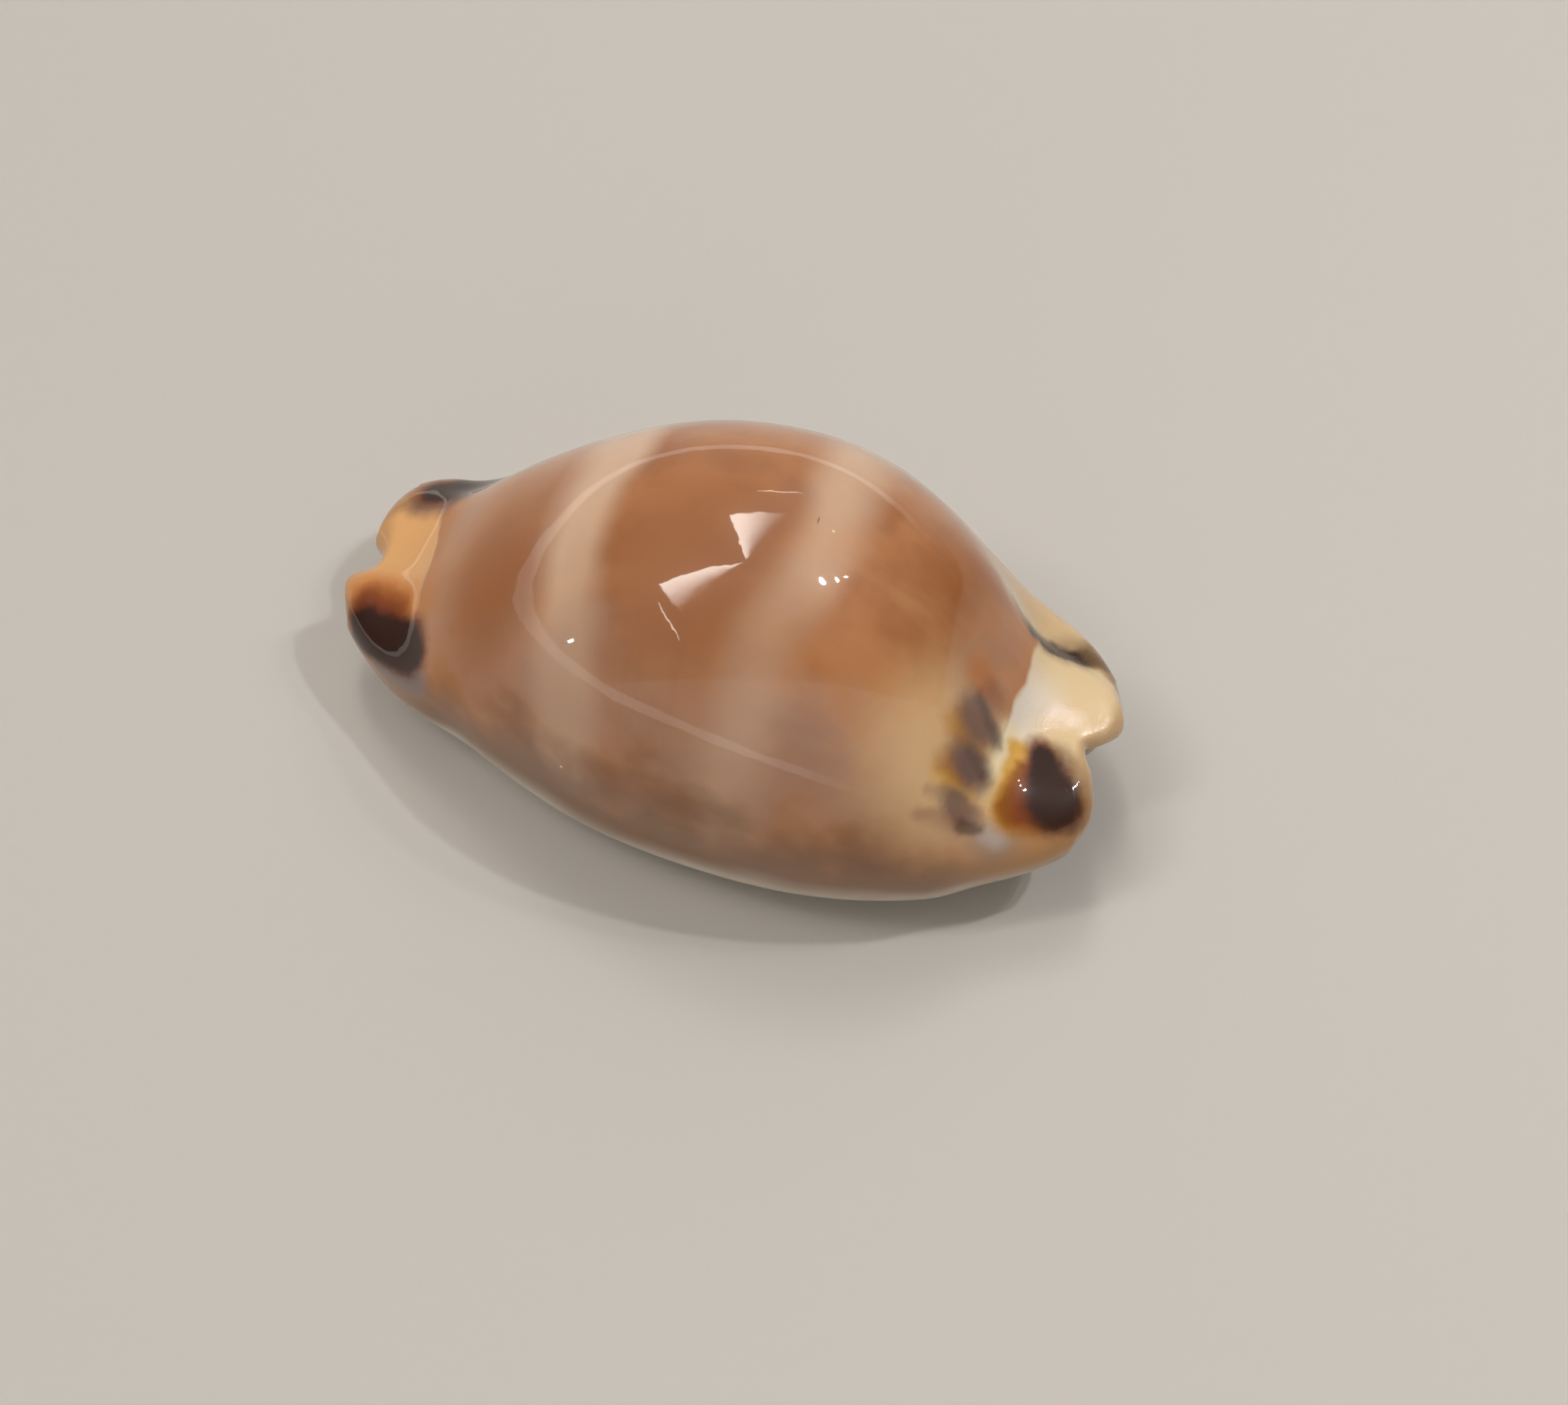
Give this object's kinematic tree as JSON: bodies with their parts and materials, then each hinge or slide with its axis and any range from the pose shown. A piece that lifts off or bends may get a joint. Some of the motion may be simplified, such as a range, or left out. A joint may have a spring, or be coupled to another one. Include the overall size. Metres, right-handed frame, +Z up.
{
  "type": "lurid cowrie shell",
  "caption": "Empty glossy cowrie shell lying on its base: arched fawn-brown back, drawn-out ends with dark spots, and a narrow toothed aperture along the flattened underside.",
  "frame": {"origin": "middle of the box round the shell, on the surface that it lies on", "axes": "+X towards the posterior end with the covered spire, +Y towards the outer (labral) lip's side, +Z up through the back"},
  "size_m": [0.045, 0.0248, 0.0212],
  "materials": {
    "shell": "naturally glossy enamel, fawn-brown with two pale bands across the back, cream ends with dark spots, and a whitish base"
  },
  "bodies": {
    "root": {"shell": "shell"}
  },
  "joints": []
}
